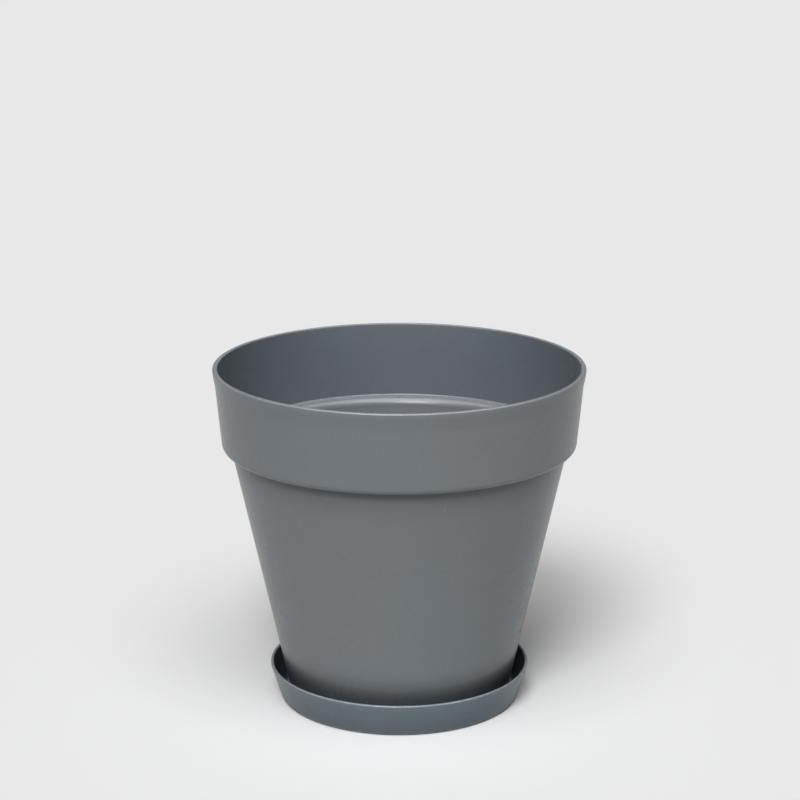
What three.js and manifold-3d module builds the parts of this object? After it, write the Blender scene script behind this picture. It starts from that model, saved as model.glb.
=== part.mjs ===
// Round plant pot with a wide collar, standing in its saucer. Two moulded pieces.
// Millimetres, +Z up. The origin is the centre of the saucer's underside, on the ground.
// Each piece is a profile turned round the Z axis, then cut or joined where it isn't round.

import * as THREE from 'three';
import { mergeVertices } from 'three/addons/utils/BufferGeometryUtils.js';
import Module from 'manifold-3d';

// The pot's outside
const rimDiameter = 300;
const potHeight = 272.5;
const rimLipWidth = 3.9;
const rimLipProud = 0.7;
const rimLipDepth = 6.5;
const rimLipFlare = 4.5;
const rimLipFillet = 6;
const rimLipRounding = 1.4;
const collarHeight = 65.8;
const collarTaperAngle = 5.4;
const collarEdgeRadius = 5.2;
const collarStep = 7.05;
const underCollarFillet = 1.5;
const bodyTaperAngle = 12.46;
const footEdgeRadius = 6;

// The pot's inside
const collarWall = 3.4;
const bodyWall = 3.3;
const ledgeDepth = 61.4;
const ledgeSlopeAngle = 18;
const ledgeRadius = 8;
const ledgeFillet = 1.5;
const floorThickness = 3.5;
const floorFillet = 9;
const floorCrown = 2;

// The pot's underside
const footHeight = 7;
const footWidth = 9;
const footFillet = 1;
const notchCount = 12;
const notchWidth = 14;
const notchHeight = 4;
const drainSpacing = 58;
const drainDiameter = 13;
const drainInset = 20;
const potGateDiameter = 9;
const potGateHeight = 0.7;

// The saucer
const saucerHeight = 28.4;
const saucerTaperAngle = 17.36;
const saucerGap = 9.4;
const saucerWall = 2.3;
const saucerFloor = 2.6;
const saucerLipWidth = 2.65;
const saucerLipRounding = 1.1;
const saucerEdgeRadius = 4;
const saucerInnerFillet = 5;
const saucerFootWidth = 9;
const saucerFootHeight = 1.2;
const saucerGateDiameter = 7;
const saucerGateHeight = 0.6;
const ribCount = 12;
const ribWidth = 2.4;
const ribHeight = 2.2;
const ribInnerRadius = 26;
const ribOverhang = 3;

// How far the pot's foot stands off the saucer's ribs
const seatGap = 0.3;

// Fineness of the round forms, and how far a cutter runs past what it cuts
const turnSegments = 72;
const holeSegments = 24;
const arcStep = 22.5;
const cutMargin = 5;

const potColour = 0x75797c;
const saucerColour = 0x74787b;
const plasticRoughness = 0.5;

const radians = (degrees) => degrees * Math.PI / 180;
const slope = (degrees) => Math.tan(radians(degrees));

// Heights that the two pieces share
const saucerFloorTop = saucerFootHeight + saucerFloor;
const ribTop = saucerFloorTop + ribHeight;
const potBottom = ribTop + seatGap;
const rimTop = potBottom + potHeight;
const collarBottom = rimTop - collarHeight;

// The collar's and the body's outer surfaces, as radius at a height
const collarTopRadius = rimDiameter / 2 - rimLipProud;
const collarOuter = (z) => collarTopRadius - (rimTop - z) * slope(collarTaperAngle);
const bodyTopRadius = collarOuter(collarBottom) - collarStep;
const bodyOuter = (z) => bodyTopRadius - (collarBottom - z) * slope(bodyTaperAngle);
const across = (wall, taper) => wall / Math.cos(radians(taper));
const collarInner = (z) => collarOuter(z) - across(collarWall, collarTaperAngle);
const bodyInner = (z) => bodyOuter(z) - across(bodyWall, bodyTaperAngle);

// A profile is a list of corners [radius, height, rounding], joined by straight lines.
// A corner with a rounding is replaced by an arc that touches both its lines. Where two
// roundings need more than the line between them, both get smaller.
function roundedProfile(corners) {
  const places = corners.map(([x, y]) => new THREE.Vector2(x, y));
  const halfAngle = (index) => {
    const before = places[index - 1].clone().sub(places[index]);
    return before.angleTo(places[index + 1].clone().sub(places[index])) / 2;
  };
  const reach = corners.map(([, , rounding], index) => (
    rounding ? rounding / Math.tan(halfAngle(index)) : 0
  ));
  const share = (first, second) => (
    0.98 * places[first].distanceTo(places[second]) / (reach[first] + reach[second])
  );
  const points = [];
  corners.forEach(([, , rounding], index) => {
    const corner = places[index];
    if (!rounding) {
      points.push(corner);
      return;
    }
    const half = halfAngle(index);
    const radius = rounding * Math.min(1, share(index - 1, index), share(index, index + 1));
    const before = places[index - 1].clone().sub(corner).normalize();
    const after = places[index + 1].clone().sub(corner).normalize();
    const middle = before.clone().add(after).normalize();
    const centre = corner.clone().addScaledVector(middle, radius / Math.sin(half));
    const start = corner.clone().addScaledVector(before, radius / Math.tan(half)).sub(centre);
    const end = corner.clone().addScaledVector(after, radius / Math.tan(half)).sub(centre);
    const sweep = Math.atan2(start.cross(end), start.dot(end));
    const steps = Math.max(2, Math.ceil(Math.abs(sweep) / radians(arcStep)));
    for (let step = 0; step <= steps; step += 1) {
      const turned = start.clone().rotateAround(new THREE.Vector2(), sweep * step / steps);
      points.push(centre.clone().add(turned));
    }
  });
  return points;
}

// Turn a profile round the Z axis. It runs from the axis, round the outside, back to the axis.
function turned(corners) {
  const geometry = new THREE.LatheGeometry(roundedProfile(corners), turnSegments);
  geometry.rotateX(Math.PI / 2);
  return geometry;
}

const wasm = await Module();
wasm.setup();

function toSolid(geometry) {
  const bare = geometry.clone();
  bare.deleteAttribute('normal');
  bare.deleteAttribute('uv');
  const merged = mergeVertices(bare, 1e-4);
  return new wasm.Manifold(new wasm.Mesh({
    numProp: 3,
    vertProperties: new Float32Array(merged.attributes.position.array),
    triVerts: new Uint32Array(merged.index.array),
  }));
}

function toGeometry(solid) {
  const mesh = solid.getMesh();
  const geometry = new THREE.BufferGeometry();
  geometry.setAttribute('position', new THREE.BufferAttribute(mesh.vertProperties, 3));
  geometry.setIndex(new THREE.BufferAttribute(mesh.triVerts, 1));
  geometry.computeVertexNormals();
  return geometry;
}

// A bar that lies along a spoke, turned to its angle
function spokeBar(width, height, fromRadius, toRadius, bottom, angle) {
  const bar = new THREE.BoxGeometry(toRadius - fromRadius, width, height);
  bar.translate((fromRadius + toRadius) / 2, 0, bottom + height / 2);
  bar.rotateZ(angle);
  return bar;
}

// The pot

const footOuter = bodyOuter(potBottom);
const footInner = footOuter - footEdgeRadius - footWidth;
const floorUnder = potBottom + footHeight;
const floorTop = floorUnder + floorThickness;
const lipBottom = rimTop - rimLipDepth;
const ledgeOuter = collarInner(rimTop - ledgeDepth);

// The ledge's slope meets the inside of the body at this radius and height
const ledgeStep = ledgeOuter - bodyInner(rimTop - ledgeDepth);
const ledgeRun = ledgeStep / (1 - slope(ledgeSlopeAngle) * slope(bodyTaperAngle));
const ledgeInner = ledgeOuter - ledgeRun;
const ledgeInnerHeight = rimTop - ledgeDepth - ledgeRun * slope(ledgeSlopeAngle);

const potProfile = [
  [0, floorUnder + floorCrown - potGateHeight],
  [potGateDiameter / 2, floorUnder + floorCrown - potGateHeight],
  [potGateDiameter / 2, floorUnder + floorCrown],
  [footInner, floorUnder, footFillet],
  [footInner, potBottom, footFillet],
  [footOuter, potBottom, footEdgeRadius],
  [bodyOuter(collarBottom), collarBottom, underCollarFillet],
  [collarOuter(collarBottom), collarBottom, collarEdgeRadius],
  [collarOuter(lipBottom), lipBottom, rimLipFillet],
  [rimDiameter / 2, lipBottom + rimLipFlare, rimLipFillet],
  [rimDiameter / 2, rimTop, rimLipRounding],
  [rimDiameter / 2 - rimLipWidth, rimTop, rimLipRounding],
  [rimDiameter / 2 - rimLipWidth, lipBottom],
  [ledgeOuter, rimTop - ledgeDepth, ledgeFillet],
  [ledgeInner, ledgeInnerHeight, ledgeRadius],
  [bodyInner(floorTop), floorTop, floorFillet],
  [0, floorTop + floorCrown],
];

function makePot() {
  let solid = toSolid(turned(potProfile));
  const drainCircle = footInner - drainInset;
  const drainCount = Math.max(3, Math.round(2 * Math.PI * drainCircle / drainSpacing));
  for (let index = 0; index < drainCount; index += 1) {
    const angle = (index + 0.5) * 2 * Math.PI / drainCount;
    const height = floorThickness + floorCrown + 2 * cutMargin;
    const hole = new THREE.CylinderGeometry(drainDiameter / 2, drainDiameter / 2, height, holeSegments);
    hole.rotateX(Math.PI / 2);
    hole.translate(drainCircle, 0, floorUnder + floorThickness / 2);
    hole.rotateZ(angle);
    solid = solid.subtract(toSolid(hole));
  }
  for (let index = 0; index < notchCount; index += 1) {
    const angle = (index + 0.5) * 2 * Math.PI / notchCount;
    const fromRadius = footInner - cutMargin;
    const toRadius = footOuter + cutMargin;
    const bottom = potBottom - cutMargin;
    const bar = spokeBar(notchWidth, notchHeight + cutMargin, fromRadius, toRadius, bottom, angle);
    solid = solid.subtract(toSolid(bar));
  }
  return toGeometry(solid);
}

// The saucer

const saucerLipRadius = bodyOuter(saucerHeight) + saucerGap + saucerLipWidth;
const saucerOuter = (z) => saucerLipRadius - (saucerHeight - z) * slope(saucerTaperAngle);
const saucerInner = (z) => saucerOuter(z) - across(saucerWall, saucerTaperAngle);
const saucerFootInner = saucerOuter(0) - saucerEdgeRadius - saucerFootWidth;
const saucerLipInner = saucerLipRadius - saucerLipWidth;

const saucerProfile = [
  [0, saucerFootHeight - saucerGateHeight],
  [saucerGateDiameter / 2, saucerFootHeight - saucerGateHeight],
  [saucerGateDiameter / 2, saucerFootHeight],
  [saucerFootInner, saucerFootHeight],
  [saucerFootInner, 0],
  [saucerOuter(0), 0, saucerEdgeRadius],
  [saucerLipRadius, saucerHeight, saucerLipRounding],
  [saucerLipInner, saucerHeight, saucerLipRounding],
  [saucerInner(saucerFloorTop), saucerFloorTop, saucerInnerFillet],
  [0, saucerFloorTop],
];

function makeSaucer() {
  let solid = toSolid(turned(saucerProfile));
  const ribOuterRadius = footOuter - footEdgeRadius + ribOverhang;
  for (let index = 0; index < ribCount; index += 1) {
    const angle = index * 2 * Math.PI / ribCount;
    const bottom = saucerFloorTop - saucerFloor / 2;
    const height = ribHeight + saucerFloor / 2;
    const rib = spokeBar(ribWidth, height, ribInnerRadius, ribOuterRadius, bottom, angle);
    solid = solid.add(toSolid(rib));
  }
  return toGeometry(solid);
}

function piece(name, geometry, colour) {
  const material = new THREE.MeshStandardMaterial({
    color: colour,
    roughness: plasticRoughness,
    metalness: 0,
  });
  const mesh = new THREE.Mesh(geometry, material);
  mesh.name = name;
  return mesh;
}

const planter = new THREE.Group();
planter.add(piece('pot', makePot(), potColour));
planter.add(piece('saucer', makeSaucer(), saucerColour));

export default planter;
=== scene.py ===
import math

import bmesh
import bpy
from mathutils import Matrix, Vector


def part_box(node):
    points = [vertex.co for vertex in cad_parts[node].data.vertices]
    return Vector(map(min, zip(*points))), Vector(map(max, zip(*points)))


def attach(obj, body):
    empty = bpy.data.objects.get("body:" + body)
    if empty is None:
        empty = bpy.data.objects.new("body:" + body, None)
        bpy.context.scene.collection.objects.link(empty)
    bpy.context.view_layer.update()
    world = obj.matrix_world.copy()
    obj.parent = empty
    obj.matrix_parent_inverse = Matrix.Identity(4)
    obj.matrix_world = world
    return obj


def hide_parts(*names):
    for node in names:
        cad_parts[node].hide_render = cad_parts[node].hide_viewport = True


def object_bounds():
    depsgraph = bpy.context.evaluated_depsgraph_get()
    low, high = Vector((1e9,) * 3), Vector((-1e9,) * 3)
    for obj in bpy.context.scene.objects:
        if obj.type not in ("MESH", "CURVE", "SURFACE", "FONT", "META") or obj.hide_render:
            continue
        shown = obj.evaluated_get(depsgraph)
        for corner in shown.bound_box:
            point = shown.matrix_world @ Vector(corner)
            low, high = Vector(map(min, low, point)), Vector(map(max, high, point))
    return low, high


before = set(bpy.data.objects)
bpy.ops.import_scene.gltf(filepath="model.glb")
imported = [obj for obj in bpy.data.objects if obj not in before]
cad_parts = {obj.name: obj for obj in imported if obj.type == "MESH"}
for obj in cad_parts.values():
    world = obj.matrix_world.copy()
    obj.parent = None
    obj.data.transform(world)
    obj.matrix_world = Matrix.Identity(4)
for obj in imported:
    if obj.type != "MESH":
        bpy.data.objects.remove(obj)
cadLow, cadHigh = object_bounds()
print("frame loaded:", ", ".join(sorted(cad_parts)))

mm = 0.001  # the shapes' dictionaries are in millimetres, the meshes in metres


# Turned shapes

turning = {
    "columns": 288,        # steps round the axis
    "arcStep": 7.0,        # degrees of each step along a rounding
    "tightArcStep": 18.0,  # the same, on roundings under 1 mm
    "supportGap": 1.2,     # rings this near the ends of a long run keep it flat when shaded
    "wearAndHighlightRadius": 4.5,     # outward roundings up to this size catch handling wear and a painted highlight
    "sharpAngle": 42.0,    # edges turning more than this stay crisp
    "fullest": 0.98,       # how much of a line the roundings at its ends may take up
    "flareAngles": (0, 16, 32, 48, 64, 80),  # degrees, along an edge that a cut rounds over
    "flareSlope": 10,      # degrees, where such a rounding runs out past the face
}


def slope(degrees):
    return math.tan(math.radians(degrees))


def wallAcross(wall, taperAngle):
    # A wall's thickness measured level, where the wall leans
    return wall / math.cos(math.radians(taperAngle))


def cornerLines(corners, index):
    # A corner, the lines from it to its neighbours, and half the angle between them
    corner = Vector(corners[index][:2])
    before = Vector(corners[index - 1][:2]) - corner
    after = Vector(corners[index + 1][:2]) - corner
    return corner, before, after, before.angle(after) / 2


def reachOf(corners, index):
    # How much of each of its lines a rounding takes up
    if len(corners[index]) < 3:
        return 0.0
    return corners[index][2] / math.tan(cornerLines(corners, index)[3])


def shareOf(corners, first):
    # Under 1 where the line after this corner is too short for the roundings at its ends
    length = (Vector(corners[first + 1][:2]) - Vector(corners[first][:2])).length
    taken = reachOf(corners, first) + reachOf(corners, first + 1)
    return min(1.0, turning["fullest"] * length / taken)


def roundCorner(corners, index, rounding):
    # The arc that touches both lines of a corner, as (radius, height, wear and painted highlight)
    corner, before, after, half = cornerLines(corners, index)
    radius = rounding * min(shareOf(corners, index - 1), shareOf(corners, index))
    before.normalize()
    after.normalize()
    centre = corner + (before + after).normalized() * (radius / math.sin(half))
    start = corner + before * (radius / math.tan(half)) - centre
    end = corner + after * (radius / math.tan(half)) - centre
    sweep = math.atan2(start.x * end.y - start.y * end.x, start.dot(end))
    stepSize = turning["arcStep"] if radius >= 1 else turning["tightArcStep"]
    steps = max(3, math.ceil(abs(math.degrees(sweep)) / stepSize))
    outward = sweep > 0 and radius <= turning["wearAndHighlightRadius"]
    points = []
    for step in range(steps + 1):
        bent = Matrix.Rotation(sweep * step / steps, 2) @ start
        wearAndHighlight = math.sin(math.pi * step / steps) if outward else 0.0
        points.append((centre.x + bent.x, centre.y + bent.y, wearAndHighlight))
    return points


def roundedProfile(corners):
    # Corners are (radius, height, rounding), joined by straight lines
    points = []
    for index, corner in enumerate(corners):
        if len(corner) > 2:
            points.extend(roundCorner(corners, index, corner[2]))
        else:
            points.append((corner[0], corner[1], 0.0))
    return points


def dividedRun(start, end, count):
    # Corners spaced evenly along a line, without its ends
    first, last = Vector(start), Vector(end)
    return [tuple(first.lerp(last, step / count)) for step in range(1, count)]


def withSupports(points):
    # The same profile, with a point near each end of every long straight run
    gap = turning["supportGap"]
    result = [points[0]]
    for before, after in zip(points, points[1:]):
        run = Vector(after[:2]) - Vector(before[:2])
        if run.length > 4 * gap:
            for share in (gap / run.length, 1 - gap / run.length):
                spot = Vector(before[:2]) + run * share
                result.append((spot.x, spot.y, 0.0))
        result.append(after)
    return result


def meshOf(name, body):
    bmesh.ops.recalc_face_normals(body, faces=body.faces)
    mesh = bpy.data.meshes.new(name)
    body.to_mesh(mesh)
    body.free()
    return mesh


def turnedMesh(name, points, columns):
    # Turn a profile that runs from the axis, round the outside, back to the axis
    body = bmesh.new()
    wearAndHighlightLayer = body.verts.layers.float.new("wearAndHighlight")
    rings = []
    for radius, height, wearAndHighlight in points:
        if radius < 1e-6:
            rings.append([body.verts.new((0, 0, height * mm))])
            continue
        ring = []
        for column in range(columns):
            angle = 2 * math.pi * column / columns
            spot = Vector((radius * math.cos(angle), radius * math.sin(angle), height))
            vert = body.verts.new(spot * mm)
            vert[wearAndHighlightLayer] = wearAndHighlight
            ring.append(vert)
        rings.append(ring)
    for lower, upper in zip(rings, rings[1:]):
        for column in range(columns):
            onward = (column + 1) % columns
            loop = [lower[column % len(lower)], lower[onward % len(lower)],
                    upper[onward % len(upper)], upper[column % len(upper)]]
            body.faces.new(list(dict.fromkeys(loop)))
    return meshOf(name, body)


def skinnedMesh(name, sections):
    # A closed form skinned over sections, lists of (x, y, z) with as many points each
    body = bmesh.new()
    rows = [[body.verts.new(Vector(spot) * mm) for spot in section] for section in sections]
    count = len(rows[0])
    for lower, upper in zip(rows, rows[1:]):
        for index in range(count):
            onward = (index + 1) % count
            body.faces.new([lower[index], lower[onward], upper[onward], upper[index]])
    body.faces.new(rows[0])
    body.faces.new(rows[-1])
    return meshOf(name, body)


def spokes(name, mesh, count, firstSpoke, place=Matrix.Identity(4)):
    # Copies of a mesh, set at a place on a spoke, on as many spokes as asked. The first spoke
    # lies at this share of a step from the X axis.
    body = bmesh.new()
    for index in range(count):
        before = len(body.verts)
        body.from_mesh(mesh)
        body.verts.ensure_lookup_table()
        turn = Matrix.Rotation((index + firstSpoke) * 2 * math.pi / count, 4, "Z")
        bmesh.ops.transform(body, matrix=turn @ place, verts=body.verts[before:])
    return meshOf(name, body)


def addObject(name, mesh):
    thing = bpy.data.objects.new(name, mesh)
    bpy.context.scene.collection.objects.link(thing)
    return thing


def combine(thing, toolMesh, operation):
    # Cut a tool out of a thing, or join it on, and keep the result as plain mesh
    tool = addObject(toolMesh.name, toolMesh)
    modifier = thing.modifiers.new("combine", "BOOLEAN")
    modifier.operation = operation
    modifier.solver = "EXACT"
    modifier.object = tool
    evaluated = thing.evaluated_get(bpy.context.evaluated_depsgraph_get())
    mesh = bpy.data.meshes.new_from_object(evaluated)
    thing.modifiers.clear()
    thing.data = mesh
    bpy.data.objects.remove(tool)


def shadeSmooth(thing):
    for polygon in thing.data.polygons:
        polygon.use_smooth = True
    thing.data.set_sharp_from_angle(angle=math.radians(turning["sharpAngle"]))


def flare(side, edge, radius, face, rise):
    # Points that round a cut's edge over: from the cut's wall out to the face, and past it
    points = []
    for degrees in turning["flareAngles"]:
        angle = math.radians(degrees)
        across = edge + radius - radius * math.cos(angle)
        along = face - rise * (radius - radius * math.sin(angle))
        points.append((side * across, along))
    lastAcross, lastAlong = points[-1]
    points.append((lastAcross + side, lastAlong + rise * slope(turning["flareSlope"])))
    return points


# The pot

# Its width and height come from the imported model. Every other size is here, in millimetres
# and degrees.
potLow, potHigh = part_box("pot")
potBottom = potLow.z / mm
rimTop = potHigh.z / mm
rimRadius = (potHigh.x - potLow.x) / 2 / mm

potShape = {
    "rimLipWidth": 3.9,
    "rimLipProud": 0.7,
    "rimLipDepth": 14.0,
    "rimLipFlare": 11.0,
    "rimLipFillet": 30.0,
    "rimLipRounding": 1.4,
    "rimLipInnerRounding": 0.6,
    "collarHeight": 65.8,
    "collarTaperAngle": 5.4,
    "collarEdgeRadius": 5.2,
    "collarStep": 7.05,
    "underCollarFillet": 1.5,
    "bodyTaperAngle": 12.46,
    "footEdgeRadius": 6.0,
    "collarWall": 3.4,
    "bodyWall": 3.3,
    "ledgeDepth": 61.4,
    "ledgeSlopeAngle": 26.5,
    "ledgeRadius": 8.0,
    "ledgeFillet": 1.2,
    "floorThickness": 3.5,
    "floorFillet": 9.0,
    "floorCrown": 2.0,
    "footHeight": 7.0,
    "footWidth": 9.0,
    "footFillet": 1.0,
    "notchCount": 12,
    "notchWidth": 14.0,
    "notchHeight": 4.0,
    "notchRounding": 0.7,
    "drainCount": 6,
    "drainDiameter": 13.0,
    "drainRounding": 0.8,
    "drainInset": 20.0,
    "gateDiameter": 9.0,
    "gateHeight": 0.7,
    "gateDimple": 1.6,
    "gateDimpleDepth": 0.4,
    "gateRounding": 0.25,
    "drainRingWidth": 18.0,  # of the rings of finer faces that the drain holes are cut in
    "drainRings": 12,
    "drainColumns": 72,
    "notchCeilingRounding": 0.6,
}

collarBottom = rimTop - potShape["collarHeight"]
ledgeHeight = rimTop - potShape["ledgeDepth"]


def collarOuter(height):
    top = rimRadius - potShape["rimLipProud"]
    return top - (rimTop - height) * slope(potShape["collarTaperAngle"])


def collarInner(height):
    return collarOuter(height) - wallAcross(potShape["collarWall"], potShape["collarTaperAngle"])


def bodyOuter(height):
    top = collarOuter(collarBottom) - potShape["collarStep"]
    return top - (collarBottom - height) * slope(potShape["bodyTaperAngle"])


def bodyInner(height):
    return bodyOuter(height) - wallAcross(potShape["bodyWall"], potShape["bodyTaperAngle"])


footOuter = bodyOuter(potBottom)
footInner = footOuter - potShape["footEdgeRadius"] - potShape["footWidth"]
floorUnder = potBottom + potShape["footHeight"]
floorTop = floorUnder + potShape["floorThickness"]
drainCircle = footInner - potShape["drainInset"]


def underFloor(radius):
    # The crowned underside, from the foot ring in to the gate
    share = (footInner - radius) / (footInner - potShape["gateDiameter"] / 2)
    return floorUnder + potShape["floorCrown"] * share


def overFloor(radius):
    return floorTop + potShape["floorCrown"] * (1 - radius / bodyInner(floorTop))


def gateDimple(shape, gateFace):
    # The small hollow in the middle of a gate, where the runner broke off
    radius, bottom = shape["gateDimple"] / 2, gateFace + shape["gateDimpleDepth"]
    return [(0, bottom), (radius, bottom, 0.2), (radius + 0.3, gateFace, 0.2)]


def potProfile():
    shape = potShape
    lipBottom = rimTop - shape["rimLipDepth"]
    lipInner = rimRadius - shape["rimLipWidth"]
    ledgeOuter = collarInner(ledgeHeight)
    fall = slope(shape["ledgeSlopeAngle"])
    ledgeStep = ledgeOuter - bodyInner(ledgeHeight)
    ledgeRun = ledgeStep / (1 - fall * slope(shape["bodyTaperAngle"]))
    gateRadius = shape["gateDiameter"] / 2
    gateFace = underFloor(gateRadius) - shape["gateHeight"]
    near = drainCircle - shape["drainRingWidth"] / 2
    far = drainCircle + shape["drainRingWidth"] / 2
    rings = shape["drainRings"]
    return withSupports(roundedProfile([
        *gateDimple(shape, gateFace),
        (gateRadius, gateFace, shape["gateRounding"]),
        (gateRadius, underFloor(gateRadius), shape["gateRounding"]),
        *dividedRun((near, underFloor(near)), (far, underFloor(far)), rings),
        (footInner, floorUnder, shape["footFillet"]),
        (footInner, potBottom, shape["footFillet"]),
        (footOuter, potBottom, shape["footEdgeRadius"]),
        (bodyOuter(collarBottom), collarBottom, shape["underCollarFillet"]),
        (collarOuter(collarBottom), collarBottom, shape["collarEdgeRadius"]),
        (collarOuter(lipBottom), lipBottom, shape["rimLipFillet"]),
        (rimRadius, lipBottom + shape["rimLipFlare"], shape["rimLipFillet"]),
        (rimRadius, rimTop, shape["rimLipRounding"]),
        (lipInner, rimTop, shape["rimLipInnerRounding"]),
        (ledgeOuter, ledgeHeight, shape["ledgeFillet"]),
        (ledgeOuter - ledgeRun, ledgeHeight - ledgeRun * fall, shape["ledgeRadius"]),
        (bodyInner(floorTop), floorTop, shape["floorFillet"]),
        *dividedRun((far, overFloor(far)), (near, overFloor(near)), rings),
        (0, overFloor(0)),
    ]))


def drainTools():
    # Cutters with flared ends, square to the crowned floor
    shape = potShape
    top, bottom = overFloor(drainCircle), underFloor(drainCircle)
    middle = (top + bottom) / 2
    half = (top - bottom) / 2
    upper = flare(1, shape["drainDiameter"] / 2, shape["drainRounding"], half, 1)
    lower = [(across, -along) for across, along in reversed(upper)]
    end = half + 3
    outline = [(0, -end), (lower[0][0], -end), *lower, *upper, (upper[-1][0], end), (0, end)]
    points = [(radius, height, 0.0) for radius, height in outline]
    tool = turnedMesh("drain", points, shape["drainColumns"])
    tilt = math.atan((underFloor(0) - underFloor(10)) / 10)
    place = Matrix.Translation((drainCircle * mm, 0, middle * mm))
    return spokes("drains", tool, shape["drainCount"], 0.5, place @ Matrix.Rotation(tilt, 4, "Y"))


def notchTools():
    # Bars that cut the foot ring, rounding over the edges of its face
    shape = potShape
    half = shape["notchWidth"] / 2
    ceiling = potBottom + shape["notchHeight"]
    edge = flare(1, half, shape["notchRounding"], potBottom, -1)
    outer = shape["notchCeilingRounding"]
    inner = 0.3 * outer
    side = [(edge[-1][0], potBottom - 4), *reversed(edge),
            (half, ceiling - outer), (half - inner, ceiling - inner), (half - outer, ceiling)]
    outline = side + [(-across, along) for across, along in reversed(side)]
    ends = (footInner - 5, footOuter + 8)
    tool = skinnedMesh("notch", [[(x, y, z) for y, z in outline] for x in ends])
    return spokes("notches", tool, shape["notchCount"], 0.5)


potMesh = turnedMesh("pot_shell", potProfile(), turning["columns"])
potShell = addObject("pot_shell", potMesh)
combine(potShell, drainTools(), "DIFFERENCE")
combine(potShell, notchTools(), "DIFFERENCE")
shadeSmooth(potShell)
print("pot made:", len(potShell.data.polygons), "faces")


# The saucer

saucerLow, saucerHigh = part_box("saucer")
saucerHeight = saucerHigh.z / mm
saucerLipRadius = (saucerHigh.x - saucerLow.x) / 2 / mm

saucerShape = {
    "taperAngle": 17.36,
    "wall": 2.3,
    "floor": 2.6,
    "lipWidth": 2.65,
    "lipRounding": 1.1,
    "edgeRadius": 4.0,
    "innerFillet": 5.0,
    "footWidth": 9.0,
    "footHeight": 1.2,
    "footFillet": 0.4,
    "gateDiameter": 7.0,
    "gateHeight": 0.6,
    "gateDimple": 1.5,
    "gateDimpleDepth": 0.35,
    "gateRounding": 0.2,
    "floorRings": 22,        # rings of finer faces that the ribs are joined to
    "ribCount": 12,
    "ribWidth": 2.4,
    "ribHeight": 2.2,
    "ribInnerRadius": 26.0,
    "ribOverhang": 3.0,
    "ribRounding": 0.55,
    "ribRamp": ((0, 0.25), (0.5, 0.62), (1.0, 0.86), (1.6, 0.97), (2.3, 1.0)),  # mm in, height
}

saucerFloorTop = saucerShape["footHeight"] + saucerShape["floor"]


def saucerOuter(height):
    return saucerLipRadius - (saucerHeight - height) * slope(saucerShape["taperAngle"])


def saucerInner(height):
    return saucerOuter(height) - wallAcross(saucerShape["wall"], saucerShape["taperAngle"])


def saucerProfile():
    shape = saucerShape
    lipInner = saucerLipRadius - shape["lipWidth"]
    footRadius = saucerOuter(0) - shape["edgeRadius"] - shape["footWidth"]
    gateRadius = shape["gateDiameter"] / 2
    gateFace = shape["footHeight"] - shape["gateHeight"]
    ribsFrom, ribsTo = shape["ribInnerRadius"] - 4, saucerInner(saucerFloorTop) - 7
    return withSupports(roundedProfile([
        *gateDimple(shape, gateFace),
        (gateRadius, gateFace, shape["gateRounding"]),
        (gateRadius, shape["footHeight"], shape["gateRounding"]),
        (footRadius, shape["footHeight"], shape["footFillet"]),
        (footRadius, 0, shape["footFillet"]),
        (saucerOuter(0), 0, shape["edgeRadius"]),
        (saucerLipRadius, saucerHeight, shape["lipRounding"]),
        (lipInner, saucerHeight, shape["lipRounding"]),
        (saucerInner(saucerFloorTop), saucerFloorTop, shape["innerFillet"]),
        *dividedRun((ribsTo, saucerFloorTop), (ribsFrom, saucerFloorTop), shape["floorRings"]),
        (0, saucerFloorTop),
    ]))


def ribTools():
    # Ribs with rounded tops, a fillet along the floor and ends that ramp down into it
    shape = saucerShape
    half = shape["ribWidth"] / 2
    root = saucerFloorTop - shape["floor"] / 2
    top = saucerFloorTop + shape["ribHeight"]
    rounding = shape["ribRounding"]
    base = flare(1, half, rounding, saucerFloorTop, -1)
    side = [(base[-1][0], root), *reversed(base)]
    for degrees in (0, 30, 60, 90):
        angle = math.radians(degrees)
        across = half - rounding + rounding * math.cos(angle)
        side.append((across, top - rounding + rounding * math.sin(angle)))
    outline = side + [(-across, along) for across, along in reversed(side)]
    start = shape["ribInnerRadius"]
    end = footOuter - potShape["footEdgeRadius"] + shape["ribOverhang"]
    stations = [(start + along, rise) for along, rise in shape["ribRamp"]]
    stations += [(end - along, rise) for along, rise in reversed(shape["ribRamp"])]
    sections = [[(x, y, root + (z - root) * rise) for y, z in outline] for x, rise in stations]
    return spokes("ribs", skinnedMesh("rib", sections), shape["ribCount"], 0)


saucerMesh = turnedMesh("saucer_shell", saucerProfile(), turning["columns"])
saucerShell = addObject("saucer_shell", saucerMesh)
combine(saucerShell, ribTools(), "UNION")
shadeSmooth(saucerShell)
print("saucer made:", len(saucerShell.data.polygons), "faces")


# Moulded plastic

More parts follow.
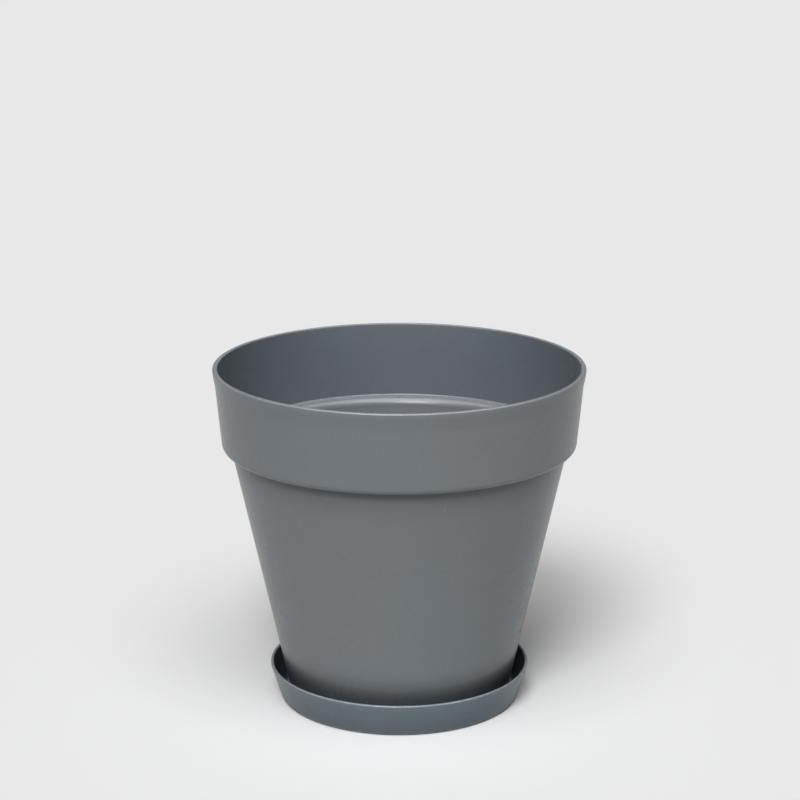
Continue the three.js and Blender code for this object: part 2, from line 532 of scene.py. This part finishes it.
potFinish = {
    "colour": (0.193, 0.211, 0.227),
    "coolColour": (0.184, 0.210, 0.231),
    # lighter than wear alone: a painted highlight on the lips too
    "wornAndHighlightColour": (0.300, 0.312, 0.324),
    "speckColour": (0.55, 0.56, 0.56),
    "insidePaintedShade": (0.80, 0.82, 0.86),  # painted shade: the inside is darker
    # Heights in mm between which that painted shade fades, and what is left of it below them
    "insidePaintedShadeFade": (ledgeHeight, ledgeHeight - 8, 0.1),
    # Painted shade under the collar and down the body to the saucer: radius, height and reach in
    # mm, and the share of the colour that is left in the middle
    "paintedShading": (
        (bodyOuter(collarBottom), collarBottom, 9.0, 0.66),
        (bodyOuter(collarBottom - 8), collarBottom - 8, 20.0, 0.89),
        (bodyOuter(40.0), 40.0, 15.0, 0.84),
        (bodyOuter(22.0), 22.0, 28.0, 0.53),
    ),
    "glossFollowsShade": 0.3,          # how much of that painted shade the gloss follows
    "patchScale": 7.0,       # noise cells in a metre, here and in the next five lines
    "mottleScale": 55.0,
    "grainScale": 1400.0,
    "rubScale": 180.0,
    "glossScale": 22.0,
    "waveScale": 14.0,
    "toneSpread": 0.05,      # how far the mottle strays from the colour
    "grainSpread": 0.05,     # the same, for the fine grain
    # wear and painted highlight on the outward edges
    "wearAndHighlightAmount": 0.5,
    "roughness": 0.26,
    "roughnessSpread": 0.06,
    "grainRoughness": 0.04,  # what the grain adds at most
    "rubbedSmoother": 0.08,  # what rubbing takes off at most
    "ior": 1.49,
    "grainDepth": 0.03,      # mm
    "waveDepth": 0.35,       # mm
    "speckCell": 11.0,       # mm between the places where a speck may lie
    "speckSize": 0.45,       # mm
    "speckShare": 0.3,
}

saucerFinish = dict(
    potFinish,
    colour=(0.165, 0.206, 0.234),
    coolColour=(0.159, 0.205, 0.239),
    # more wear and painted highlight on the saucer's lip
    wearAndHighlightAmount=0.9,
    # painted shade inside the saucer, darkest in the gap round the pot's foot
    insidePaintedShade=(0.35, 0.38, 0.38),
    insidePaintedShadeFade=(1.0, 0.0, 1.0),
    # painted shade dims the gloss fully
    glossFollowsShade=1.0,
    # painted shade inside the saucer, and painted light at its foot
    paintedShading=((saucerInner(saucerFloorTop), saucerFloorTop, 30.0, 0.4),
             (saucerOuter(0), 0.0, 26.0, 1.8)),  # painted light: paler where it meets the ground, to lift the shade there
)


def addNode(tree, kind, **settings):
    node = tree.nodes.new("ShaderNode" + kind)
    for name, value in settings.items():
        setattr(node, name, value)
    return node


def feed(tree, socket, source):
    # A source is another node's socket, or a plain value
    if isinstance(source, bpy.types.NodeSocket):
        tree.links.new(source, socket)
    else:
        socket.default_value = source


def mathNode(tree, operation, *sources):
    node = addNode(tree, "Math", operation=operation)
    for socket, source in zip(node.inputs, sources):
        feed(tree, socket, source)
    return node.outputs[0]


def noiseNode(tree, place, scale, detail=2.0, roughness=0.5):
    node = addNode(tree, "TexNoise")
    feed(tree, node.inputs["Vector"], place)
    node.inputs["Scale"].default_value = scale
    node.inputs["Detail"].default_value = detail
    node.inputs["Roughness"].default_value = roughness
    return node.outputs["Fac"]


def rampNode(tree, source, fromLow, fromHigh, toLow, toHigh):
    node = addNode(tree, "MapRange", interpolation_type="SMOOTHSTEP")
    for socket, value in zip(node.inputs, (source, fromLow, fromHigh, toLow, toHigh)):
        feed(tree, socket, value)
    return node.outputs[0]


def mixNode(tree, share, first, second):
    node = addNode(tree, "Mix", data_type="RGBA")
    feed(tree, node.inputs[0], share)
    feed(tree, node.inputs[6], first)
    feed(tree, node.inputs[7], second)
    return node.outputs[2]


def colourOf(values):
    return (*values, 1.0)


def shadeNodes(tree, place, finish):
    # What the plastic's colour is multiplied by: painted shade on surfaces that face the axis,
    # and painted shade, or painted light, near the creases. The turned profile's radius and
    # height stand for the place.
    flat = addNode(tree, "VectorMath", operation="MULTIPLY")
    feed(tree, flat.inputs[0], place)
    flat.inputs[1].default_value = (1.0, 1.0, 0.0)
    outward = addNode(tree, "VectorMath", operation="NORMALIZE")
    feed(tree, outward.inputs[0], flat.outputs[0])
    facing = addNode(tree, "VectorMath", operation="DOT_PRODUCT")
    feed(tree, facing.inputs[0], outward.outputs[0])
    feed(tree, facing.inputs[1], addNode(tree, "TexCoord").outputs["Normal"])
    inside = rampNode(tree, facing.outputs["Value"], -0.5, 0.0, 1.0, 0.0)
    axes = addNode(tree, "SeparateXYZ")
    feed(tree, axes.inputs[0], place)
    fadeFrom, fadeTo, shadeLeft = finish["insidePaintedShadeFade"]
    depth = rampNode(tree, axes.outputs["Z"], fadeTo * mm, fadeFrom * mm, shadeLeft, 1.0)
    share = mathNode(tree, "MULTIPLY", inside, depth)
    tint = mixNode(tree, share, (1.0, 1.0, 1.0, 1.0), colourOf(finish["insidePaintedShade"]))
    radius = addNode(tree, "VectorMath", operation="LENGTH")
    feed(tree, radius.inputs[0], flat.outputs[0])
    spot = addNode(tree, "CombineXYZ")
    feed(tree, spot.inputs["X"], radius.outputs["Value"])
    feed(tree, spot.inputs["Z"], axes.outputs["Z"])
    for creaseRadius, creaseHeight, reach, left in finish["paintedShading"]:
        away = addNode(tree, "VectorMath", operation="DISTANCE")
        feed(tree, away.inputs[0], spot.outputs[0])
        away.inputs[1].default_value = (creaseRadius * mm, 0.0, creaseHeight * mm)
        spotShading = rampNode(tree, away.outputs["Value"], 0.0, reach * mm, left, 1.0)
        toned = addNode(tree, "VectorMath", operation="SCALE")
        feed(tree, toned.inputs[0], tint)
        feed(tree, toned.inputs["Scale"], spotShading)
        tint = toned.outputs[0]
    return tint


def mouldedPlastic(name, finish):
    material = bpy.data.materials.new(name)
    material.use_nodes = True
    tree = material.node_tree
    shader = tree.nodes["Principled BSDF"]
    place = addNode(tree, "TexCoord").outputs["Object"]

    # Broad patches, as melt that cooled a little unevenly leaves them, with mottle and grain
    patches = noiseNode(tree, place, finish["patchScale"], 2.0, 0.45)
    mottle = noiseNode(tree, place, finish["mottleScale"], 3.0, 0.6)
    grain = noiseNode(tree, place, finish["grainScale"], 2.0, 0.6)
    tint = mixNode(tree, rampNode(tree, patches, 0.35, 0.65, 0.0, 1.0),
                   colourOf(finish["colour"]), colourOf(finish["coolColour"]))
    toneSpread, grainSpread = finish["toneSpread"], finish["grainSpread"]
    broad = mathNode(tree, "MULTIPLY_ADD", mottle, toneSpread, 1 - toneSpread / 2)
    fine = mathNode(tree, "MULTIPLY_ADD", grain, grainSpread, -grainSpread / 2)
    shade = shadeNodes(tree, place, finish)
    shaded = addNode(tree, "VectorMath", operation="MULTIPLY")
    feed(tree, shaded.inputs[0], tint)
    feed(tree, shaded.inputs[1], shade)
    toned = addNode(tree, "VectorMath", operation="SCALE")
    feed(tree, toned.inputs[0], shaded.outputs[0])
    feed(tree, toned.inputs["Scale"], mathNode(tree, "ADD", broad, fine))

    # Handling wear along outward edges, with a painted highlight there, broken up by noise
    wearAndHighlight = addNode(tree, "Attribute", attribute_name="wearAndHighlight").outputs["Fac"]
    rubs = noiseNode(tree, place, finish["rubScale"], 4.0, 0.65)
    rubbed = rampNode(tree, rubs, 0.4, 0.65, 0.25, 1.0)
    uneven = mathNode(tree, "MULTIPLY", wearAndHighlight, rubbed)
    wornAndHighlighted = mathNode(tree, "MULTIPLY", uneven, finish["wearAndHighlightAmount"])
    edged = mixNode(tree, wornAndHighlighted, toned.outputs[0], colourOf(finish["wornAndHighlightColour"]))

    # Sparse light specks in the plastic
    cells = addNode(tree, "TexVoronoi")
    feed(tree, cells.inputs["Vector"], place)
    cells.inputs["Scale"].default_value = 1 / (finish["speckCell"] * mm)
    size = finish["speckSize"] / finish["speckCell"]
    dot = rampNode(tree, cells.outputs["Distance"], size * 0.6, size, 1.0, 0.0)
    pick = addNode(tree, "SeparateColor")
    feed(tree, pick.inputs[0], cells.outputs["Color"])
    chosen = mathNode(tree, "LESS_THAN", pick.outputs[0], finish["speckShare"])
    speck = mathNode(tree, "MULTIPLY", dot, chosen)
    specked = mixNode(tree, speck, edged, colourOf(finish["speckColour"]))
    feed(tree, shader.inputs["Base Color"], specked)

    # Satin gloss that varies a little, smoother where hands rub
    gloss = noiseNode(tree, place, finish["glossScale"], 3.0, 0.6)
    spread = finish["roughnessSpread"]
    varied = mathNode(tree, "MULTIPLY_ADD", gloss, spread, finish["roughness"] - spread / 2)
    grained = mathNode(tree, "MULTIPLY_ADD", grain, finish["grainRoughness"], varied)
    roughness = mathNode(tree, "MULTIPLY_ADD", wornAndHighlighted, -finish["rubbedSmoother"], grained)
    feed(tree, shader.inputs["Roughness"], roughness)
    shader.inputs["IOR"].default_value = finish["ior"]

    # Painted shade dims the gloss too, where it darkens the plastic
    parts = addNode(tree, "SeparateXYZ")
    feed(tree, parts.inputs[0], shade)
    darkening = mathNode(tree, "MINIMUM", parts.outputs["Y"], 1.0)
    level = finish["glossFollowsShade"] / 2
    feed(tree, shader.inputs["Specular IOR Level"],
         mathNode(tree, "MULTIPLY_ADD", darkening, level, 0.5 - level))

    # Mould grain, over the slow waves of a wall that shrank as it cooled
    waves = addNode(tree, "Bump")
    feed(tree, waves.inputs["Height"], noiseNode(tree, place, finish["waveScale"], 1.0, 0.4))
    waves.inputs["Distance"].default_value = finish["waveDepth"] * mm
    grains = addNode(tree, "Bump")
    feed(tree, grains.inputs["Height"], grain)
    grains.inputs["Distance"].default_value = finish["grainDepth"] * mm
    feed(tree, grains.inputs["Normal"], waves.outputs[0])
    feed(tree, shader.inputs["Normal"], grains.outputs[0])
    return material


def dress(piece, material, node, body):
    piece.data.materials.clear()
    piece.data.materials.append(material)
    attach(piece, body)
    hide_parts(node)


potPlastic = mouldedPlastic("grey_pot_plastic", potFinish)
saucerPlastic = mouldedPlastic("grey_saucer_plastic", saucerFinish)
dress(potShell, potPlastic, "pot", "pot_body")
dress(saucerShell, saucerPlastic, "saucer", "saucer_body")
print("materials made")


# The studio

studio = {
    "paleColour": (0.838, 0.838, 0.838),  # the backdrop that rays see
    "floorColour": (0.94, 0.94, 0.94),
    "bounceColour": (0.64, 0.64, 0.64),   # the floor as the light that it throws back has it
    "floorSize": 16.0,                    # m
    "glossShare": 0.37,                   # how much of the pale background gloss reflects
    "softboxGains": (19.5, 4.7),          # of the overhead and the front softbox, in reflections
    "ambient": 0.02,
    "lamps": (
        # name, strength, degrees above the floor, degrees left of the front, spread in degrees
        ("front_lamp", 1.55, 45.0, 13.0, 22.0),
        ("top_lamp", 1.7, 65.0, 0.0, 50.0),
    ),
    "cameraPlace": (0.00055, -1.82505, 0.74045),
    "cameraPitch": 15.05,                 # degrees down
    "cameraLens": 105.44,
}


def seenDirectly(tree):
    # 1 on rays from the camera, less in reflections, 0 on light thrown from surface to surface
    path = addNode(tree, "LightPath")
    gloss = mathNode(tree, "MULTIPLY", path.outputs["Is Glossy Ray"], studio["glossShare"])
    seen = mathNode(tree, "MAXIMUM", path.outputs["Is Camera Ray"], gloss)
    return mathNode(tree, "MAXIMUM", seen, path.outputs["Is Transmission Ray"])


def makeFloor():
    body = bmesh.new()
    half = studio["floorSize"] / 2
    bmesh.ops.create_grid(body, x_segments=8, y_segments=8, size=half)
    floor = addObject("floor", meshOf("floor", body))
    floor.location.z = cadLow.z
    material = bpy.data.materials.new("floor_paper")
    material.use_nodes = True
    tree = material.node_tree
    shader = tree.nodes["Principled BSDF"]
    colour = mixNode(tree, seenDirectly(tree), colourOf(studio["bounceColour"]),
                     colourOf(studio["floorColour"]))
    feed(tree, shader.inputs["Base Color"], colour)
    shader.inputs["Roughness"].default_value = 1.0
    shader.inputs["Specular IOR Level"].default_value = 0.0
    floor.data.materials.append(material)


def makeWorld():
    world = bpy.data.worlds.new("studio")
    bpy.context.scene.world = world
    world.use_nodes = True
    tree = world.node_tree
    backdrop = tree.nodes["Background"]
    ambient = studio["ambient"]
    colour = mixNode(tree, seenDirectly(tree), (ambient, ambient, ambient, 1.0),
                     colourOf(studio["paleColour"]))
    feed(tree, backdrop.inputs["Color"], colour)

    # Two wide softboxes that gloss reflects, one overhead and one on the camera's side
    axes = addNode(tree, "SeparateXYZ")
    feed(tree, axes.inputs[0], addNode(tree, "TexCoord").outputs["Generated"])
    overhead = rampNode(tree, axes.outputs["Z"], 0.6, 0.9, 0.0, 1.0)
    front = rampNode(tree, axes.outputs["Y"], -0.7, 0.0, 1.0, 0.0)
    lower = mathNode(tree, "SUBTRACT", 1.0, overhead)
    overheadGain, frontGain = studio["softboxGains"]
    frontPart = mathNode(tree, "MULTIPLY", mathNode(tree, "MULTIPLY", front, lower), frontGain)
    both = mathNode(tree, "MULTIPLY_ADD", overhead, overheadGain, frontPart)
    path = addNode(tree, "LightPath")
    strength = mathNode(tree, "MULTIPLY_ADD", path.outputs["Is Glossy Ray"], both, 1.0)
    feed(tree, backdrop.inputs["Strength"], strength)


def makeLamps():
    for name, strength, elevation, turn, spread in studio["lamps"]:
        lamp = bpy.data.lights.new(name, "SUN")
        lamp.energy = strength
        lamp.angle = math.radians(spread)
        fitting = addObject(name, lamp)
        fitting.rotation_euler = (math.radians(90 - elevation), 0, math.radians(-turn))


def makeCamera():
    lens = bpy.data.cameras.new("camera")
    lens.lens = studio["cameraLens"]
    camera = addObject("camera", lens)
    camera.location = studio["cameraPlace"]
    camera.rotation_euler = (math.radians(90 - studio["cameraPitch"]), 0, 0)
    bpy.context.scene.camera = camera


makeFloor()
makeWorld()
makeLamps()
makeCamera()
bpy.context.scene.view_settings.view_transform = "Standard"
print("studio made")
